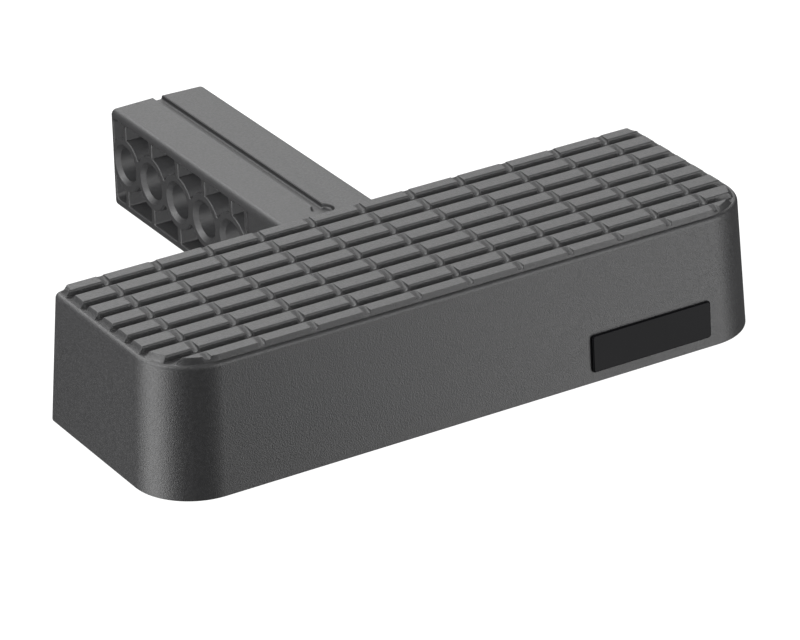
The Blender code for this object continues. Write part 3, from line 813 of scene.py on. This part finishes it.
def groove_cutter(size):
    """The groove along the top with its round end, floor and edges rounded."""
    mesh = bmesh.new()
    half = size.groove / 2
    turn = math.degrees(math.asin(half / size.recess))
    outline = arc((0.0, size.recess_place), size.recess, 90 - turn, -270 + turn, 40)
    outline += [(-half, size.end + MM), (half, size.end + MM)]
    top = size.width
    lip = 0.3 * MM
    floor = 0.9 * MM
    face = polygon(mesh, outline, "Z", top - lip)
    flare = [(-inset, rise) for inset, rise in reversed(quarter(lip, 4, 1))]
    depth = size.groove_depth - lip - floor
    return slab(mesh, face, flare + [(-0.1 * MM, 0.4 * MM)], [(0.1 * MM, depth)] + quarter(floor, 4))


def box_cutter(low, high, radius):
    """A box between two (x, y, z) corners, with rounded upright edges and a rounded top."""
    mesh = bmesh.new()
    low = Vector(low)
    high = Vector(high)
    half = (high - low) / 2
    face = rounded_face(mesh, half.x, half.y, radius, radius, 5)
    place = (low + high) / 2
    bmesh.ops.translate(mesh, vec=(place.x, place.y, low.z), verts=mesh.verts)
    steps = [(0.0, high.z - low.z - radius)] + quarter(radius, 4)
    return slab(mesh, face, steps, [])


def side_relief(size, side, start):
    """The shallow field that sets the plain side back from the lattice."""
    stop = size.lattice_end
    depth = 2 * size.relief
    corner = 1.0 * MM
    mesh = block((depth, stop - start, size.width - 2 * size.flange),
                 (side * size.width / 2, (start + stop) / 2, size.width / 2))
    edges = [edge for edge in mesh.edges if abs(edge.verts[0].co.x - edge.verts[1].co.x) > depth / 2]
    bmesh.ops.bevel(mesh, geom=edges, offset=corner, affect="EDGES", segments=4, profile=0.5,
                    material=-1)
    return mesh


def bolt_spots():
    """The (y, z) middles of the four cross bolts."""
    spots = []
    for name in sorted(frame["nodes"]):
        if name.startswith("head_washer"):
            low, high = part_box(name)
            spots.append(((low.y + high.y) / 2, (low.z + high.z) / 2))
    return spots


def lattice_cutters(size):
    """The pockets cored from both sides and the bores between them."""
    spots = bore_spots(size)
    spans = [(None, spots[0])]
    spans += [(low, high) for high, low in zip(spots, spots[1:])]
    spans.append((spots[-1], None))
    cutters = []
    for near, far in spans:
        for up in (1, -1):
            outline = pocket_outline(size, near, far, up)
            cutters += [pocket_cutter(size, outline, side) for side in (1, -1)]
    return cutters + [bore_cutter(size, spot) for spot in spots]


def under_pockets(size):
    """The pockets cored from below between the cover and the lattice."""
    radius = 1.5 * MM
    cutters = []
    for start, stop in UNDER_SPANS:
        for side in (-1, 1):
            near, far = sorted((side * size.web / 2, side * (size.width / 2 - size.flange)))
            cutters.append(box_cutter((near, start, -MM), (far, stop, size.width - 2 * size.flange),
                                      radius))
    return cutters


def tongue_relief(size, back, floor):
    """The room that the closing plate takes up under the tongue."""
    reach = back + size.front + 1.3 * MM
    return block((2 * size.width, reach, 2 * floor), (0.0, back + CLEARANCE - reach / 2, 0.0))


def bolt_holes(size):
    """The clearance holes of the cross bolts."""
    radius = 4.5 * MM
    cutters = []
    for place in bolt_spots():
        mesh = bmesh.new()
        face = disc(mesh, radius, "X", place, 0.0, 32)
        cutters.append(slab(mesh, face, [(0.0, size.width)], [(0.0, size.width)]))
    return cutters


def tongue_cells(size, floor):
    """The pockets in the sides of the tongue."""
    low = floor + size.flange
    high = size.width - size.flange
    narrowing = 0.4 * MM
    depth = size.width / 2 + MM - size.web / 2
    cutters = []
    for start, stop in TONGUE_SPANS:
        for side in (-1, 1):
            mesh = bmesh.new()
            outline = [(start, low), (stop, low), (stop, high), (start, high)]
            face = polygon(mesh, outline, "X", size.width / 2 + MM)
            slab(mesh, face, [], [(narrowing, depth)])
            cutters.append(mirrored(mesh) if side < 0 else mesh)
    return cutters


class HITCHSTEP_OT_shank(bpy.types.Operator):
    """Build the square shank with its bores, bosses, ribs and top groove"""

    bl_idname = "hitchstep.shank"
    bl_label = "Shank"

    def execute(self, context):
        size = context.scene.hitchstep_shank
        back = context.scene.hitchstep_cover.depth / 2
        floor = PLATE_HIGH.z + CLEARANCE
        outside = lattice_cutters(size)
        outside += [side_relief(size, side, back + 4 * MM) for side in (-1, 1)]
        outside.append(groove_cutter(size))
        outside += under_pockets(size)
        mesh = carved(shank_body(size), [("DIFFERENCE", merged(outside)),
                                         ("DIFFERENCE", tongue_relief(size, back, floor)),
                                         ("DIFFERENCE", merged(bolt_holes(size))),
                                         ("DIFFERENCE", merged(tongue_cells(size, floor)))])
        colour = scaled(context.scene.hitchstep_colours.shank, SHANK_SHADE)
        material = moulded_plastic("charcoal_satin", colour, roughness=0.44, grain=1900.0,
                                   grain_depth=0.06 * MM)
        finished("square_shank", mesh, material, ["hitch_shank"])
        return {"FINISHED"}


# Closing plate -------------------------------------------------------------------


def plate_hole(spot, radius, sides, steps):
    """A cutter with a flared mouth on the plate's underside; the steps shape the rest of it."""
    mesh = bmesh.new()
    face = disc(mesh, radius, "Z", spot, 0.3 * MM, sides)
    return slab(mesh, face, steps, [(-0.3 * MM, 0.3 * MM), (-0.2 * MM, 0.2 * MM)])


def drain_spots():
    """The middles of the four drains, one between each pair of screws."""
    across = sum({round(abs(x), 5) for x, _ in screw_spots()}) / 2
    rows = sorted({round(y, 5) for _, y in screw_spots()})
    return [(side * across, y) for side in (-1, 1) for y in rows]


class HITCHSTEP_OT_plate(bpy.types.Operator):
    """Build the closing plate with its counterbores and drains"""

    bl_idname = "hitchstep.plate"
    bl_label = "Closing plate"

    def execute(self, context):
        size = context.scene.hitchstep_cover
        tall = PLATE_HIGH.z - PLATE_LOW.z
        edge = 0.4 * MM
        mesh = bmesh.new()
        face = rounded_face(mesh, PLATE_HIGH.x, PLATE_HIGH.y, size.front_radius - size.wall,
                            size.back_radius - size.wall, size.rounding)
        bmesh.ops.translate(mesh, vec=(0.0, 0.0, edge), verts=mesh.verts)
        wall = tall - 2 * edge
        slab(mesh, face, [(lean(size, wall), wall)] + quarter(edge, 3), quarter(edge, 3))
        counterbore = [(0.0, 2.3 * MM), (2.7 * MM, 0.0), (0.0, tall)]
        holes = [plate_hole(spot, 5.5 * MM, 48, counterbore) for spot in screw_spots()]
        holes += [plate_hole(spot, 2.5 * MM, 32, [(0.0, 2 * tall)]) for spot in drain_spots()]
        mesh = carved(mesh, [("DIFFERENCE", merged(holes))])
        material = moulded_plastic("charcoal_plate", context.scene.hitchstep_colours.plate,
                                   grain=1700.0, grain_depth=0.035 * MM)
        finished("closing_plate_fine", mesh, material, ["closing_plate"])
        return {"FINISHED"}


# Fasteners and cores -------------------------------------------------------------


class HITCHSTEP_OT_hidden(bpy.types.Operator):
    """Give the cores and fasteners their finishes"""

    bl_idname = "hitchstep.hidden"
    bl_label = "Cores and fasteners"

    def execute(self, context):
        colours = context.scene.hitchstep_colours
        finishes = {
            "crush_core": moulded_plastic("core_black", colours.core, 0.5, 1500.0, 0.02 * MM, 0.1),
            "cross_bolt": plated_steel("zinc_plate", colours.zinc),
            "plate_screw": plated_steel("dull_zinc", colours.screw, 0.4),
            "screw_insert": plated_steel("knurled_brass", colours.brass),
        }
        finishes["head_washer"] = finishes["cross_bolt"]
        finishes["nut_washer"] = finishes["cross_bolt"]
        finishes["lock_nut"] = finishes["cross_bolt"]
        for name, node in frame["nodes"].items():
            for start, material in finishes.items():
                if name.startswith(start):
                    node.data.materials.clear()
                    node.data.materials.append(material)
        return {"FINISHED"}


# Badge ---------------------------------------------------------------------------


def badge_place(size, cover, offset):
    """Matrix that lays a slab on the front wall, proud of it by an offset."""
    y = -cover.depth / 2 + lean(cover, size.up)
    turn = Matrix.Rotation(math.pi / 2 - cover.draft, 4, "X")
    outward = turn @ Vector((0.0, 0.0, 1.0))
    return Matrix.Translation(Vector((size.across, y, size.up)) + outward * offset) @ turn


class HITCHSTEP_OT_badge(bpy.types.Operator):
    """Build the plain domed badge"""

    bl_idname = "hitchstep.badge"
    bl_label = "Badge"

    def execute(self, context):
        size = context.scene.hitchstep_badge
        cover = context.scene.hitchstep_cover
        colour = scaled(context.scene.hitchstep_colours.badge, BADGE_SHADE)
        gap = 0.1 * MM
        film = bmesh.new()
        face = rounded_face(film, size.width / 2, size.height / 2, size.corner, size.corner, 8)
        slab(film, face, [(0.0, size.film)], [])
        bmesh.ops.transform(film, matrix=badge_place(size, cover, gap), verts=film.verts)
        finished("badge_film", film, gloss_film("black_film", colour, 0.25),
                 ["badge_label"])
        dome = bmesh.new()
        inset = 0.35 * MM
        face = rounded_face(dome, size.width / 2 - inset, size.height / 2 - inset,
                            size.corner - inset, size.corner - inset, 8)
        edge = 0.6 * MM
        steps = [(0.0, size.dome - edge)] + quarter(edge, 7)
        slab(dome, face, steps, [])
        place = badge_place(size, cover, 2 * gap + size.film)
        bmesh.ops.transform(dome, matrix=place, verts=dome.verts)
        finished("badge_resin", dome, gloss_film("poured_resin", colour, 0.06),
                 ["badge_dome"])
        return {"FINISHED"}


# Stage ---------------------------------------------------------------------------


def aim(item, place, target):
    item.location = place
    item.rotation_euler = (Vector(target) - Vector(place)).to_track_quat("-Z", "Y").to_euler()


def soft_panel(name, bearing, height, distance, size, radiance):
    """A soft panel that faces the step; bearing is in degrees from -Y towards +X."""
    lamp = bpy.data.lights.new(name, "AREA")
    lamp.shape = "RECTANGLE"
    lamp.size, lamp.size_y = size
    lamp.energy = radiance * math.pi * size[0] * size[1]
    item = bpy.data.objects.new(name, lamp)
    bpy.context.scene.collection.objects.link(item)
    turn = math.radians(bearing)
    rise = math.radians(height)
    place = (distance * math.sin(turn) * math.cos(rise), -distance * math.cos(turn) * math.cos(rise),
             distance * math.sin(rise))
    aim(item, place, (0.0, 0.0, 0.03))
    item.visible_camera = False
    return item


def pale_floor():
    """A white floor that can be looked through from below."""
    material = bpy.data.materials.new("pale_floor")
    material.use_nodes = True
    tree = material.node_tree
    shader = tree.nodes["Principled BSDF"]
    shader.inputs["Base Color"].default_value = (0.1, 0.1, 0.1, 1.0)
    shader.inputs["Roughness"].default_value = 1.0
    shader.inputs["Emission Color"].default_value = (1.0, 1.0, 1.0, 1.0)
    shader.inputs["Emission Strength"].default_value = 1.0
    mix = tree.nodes.new("ShaderNodeMixShader")
    back = tree.nodes.new("ShaderNodeNewGeometry").outputs["Backfacing"]
    clear = tree.nodes.new("ShaderNodeBsdfTransparent")
    tree.links.new(back, mix.inputs["Fac"])
    tree.links.new(shader.outputs["BSDF"], mix.inputs[1])
    tree.links.new(clear.outputs["BSDF"], mix.inputs[2])
    tree.links.new(mix.outputs["Shader"], tree.nodes["Material Output"].inputs["Surface"])
    return material


def studio_air(strength):
    """Dim surroundings for the step behind a white backdrop."""
    world = bpy.data.worlds.new("studio")
    world.use_nodes = True
    tree = world.node_tree
    sight = tree.nodes.new("ShaderNodeLightPath").outputs["Is Camera Ray"]
    tree.nodes["Background"].inputs["Color"].default_value = (1.0, 1.0, 1.0, 1.0)
    tree.links.new(spread(tree, sight, strength, 1.0, 0.0, 1.0),
                   tree.nodes["Background"].inputs["Strength"])
    return world


def view_camera():
    lens = bpy.data.cameras.new("view")
    lens.sensor_width = 36.0
    lens.lens = CAMERA_LENS
    lens.clip_start = 0.05
    camera = bpy.data.objects.new("view", lens)
    bpy.context.scene.collection.objects.link(camera)
    camera.location = CAMERA_PLACE
    camera.rotation_euler = [math.radians(angle) for angle in CAMERA_TURN]
    return camera


class HITCHSTEP_OT_stage(bpy.types.Operator):
    """Set the floor, the soft lights and the camera"""

    bl_idname = "hitchstep.stage"
    bl_label = "Stage"

    def execute(self, context):
        scene = context.scene
        mesh = bmesh.new()
        bmesh.ops.create_grid(mesh, x_segments=1, y_segments=1, size=20.0)
        bmesh.ops.translate(mesh, vec=(0.0, 0.0, -0.2 * MM), verts=mesh.verts)
        floor = as_object("floor", mesh)
        floor.data.materials.append(pale_floor())
        floor.visible_glossy = False
        floor.visible_diffuse = False
        floor.visible_shadow = False
        scene.world = studio_air(AIR_STRENGTH)
        for panel in PANELS:
            soft_panel(*panel)
        fill = soft_panel(*SHANK_PANEL)
        fill.data.use_shadow = False
        lit = bpy.data.collections.new("lit_by_fill")
        lit.objects.link(bpy.data.objects["square_shank"])
        fill.light_linking.receiver_collection = lit
        scene.view_settings.view_transform = "Standard"
        scene.camera = view_camera()
        return {"FINISHED"}


# Panel and registration ------------------------------------------------------------


OPERATORS = (
    HITCHSTEP_OT_cover,
    HITCHSTEP_OT_shank,
    HITCHSTEP_OT_plate,
    HITCHSTEP_OT_hidden,
    HITCHSTEP_OT_badge,
    HITCHSTEP_OT_stage,
)


class HITCHSTEP_PT_sidebar(bpy.types.Panel):
    """Lists the pieces of the hitch step"""

    bl_idname = "HITCHSTEP_PT_sidebar"
    bl_label = "Hitch Step"
    bl_space_type = "VIEW_3D"
    bl_region_type = "UI"
    bl_category = "Hitch Step"

    def draw(self, context):
        for operator in OPERATORS:
            self.layout.operator(operator.bl_idname)


SETTINGS = {
    "hitchstep_cover": CoverSize,
    "hitchstep_tread": TreadSize,
    "hitchstep_shank": ShankSize,
    "hitchstep_badge": BadgeSize,
    "hitchstep_colours": StepColours,
}
CLASSES = (*SETTINGS.values(), *OPERATORS, HITCHSTEP_PT_sidebar)


def register():
    for entry in CLASSES:
        bpy.utils.register_class(entry)
    for name, group in SETTINGS.items():
        setattr(bpy.types.Scene, name, PointerProperty(type=group))


def unregister():
    for name in SETTINGS:
        delattr(bpy.types.Scene, name)
    for entry in reversed(CLASSES):
        bpy.utils.unregister_class(entry)


def main():
    register()
    bpy.ops.hitchstep.cover()
    bpy.ops.hitchstep.shank()
    bpy.ops.hitchstep.plate()
    bpy.ops.hitchstep.hidden()
    bpy.ops.hitchstep.badge()
    bpy.ops.hitchstep.stage()


if __name__ == "__main__":
    main()
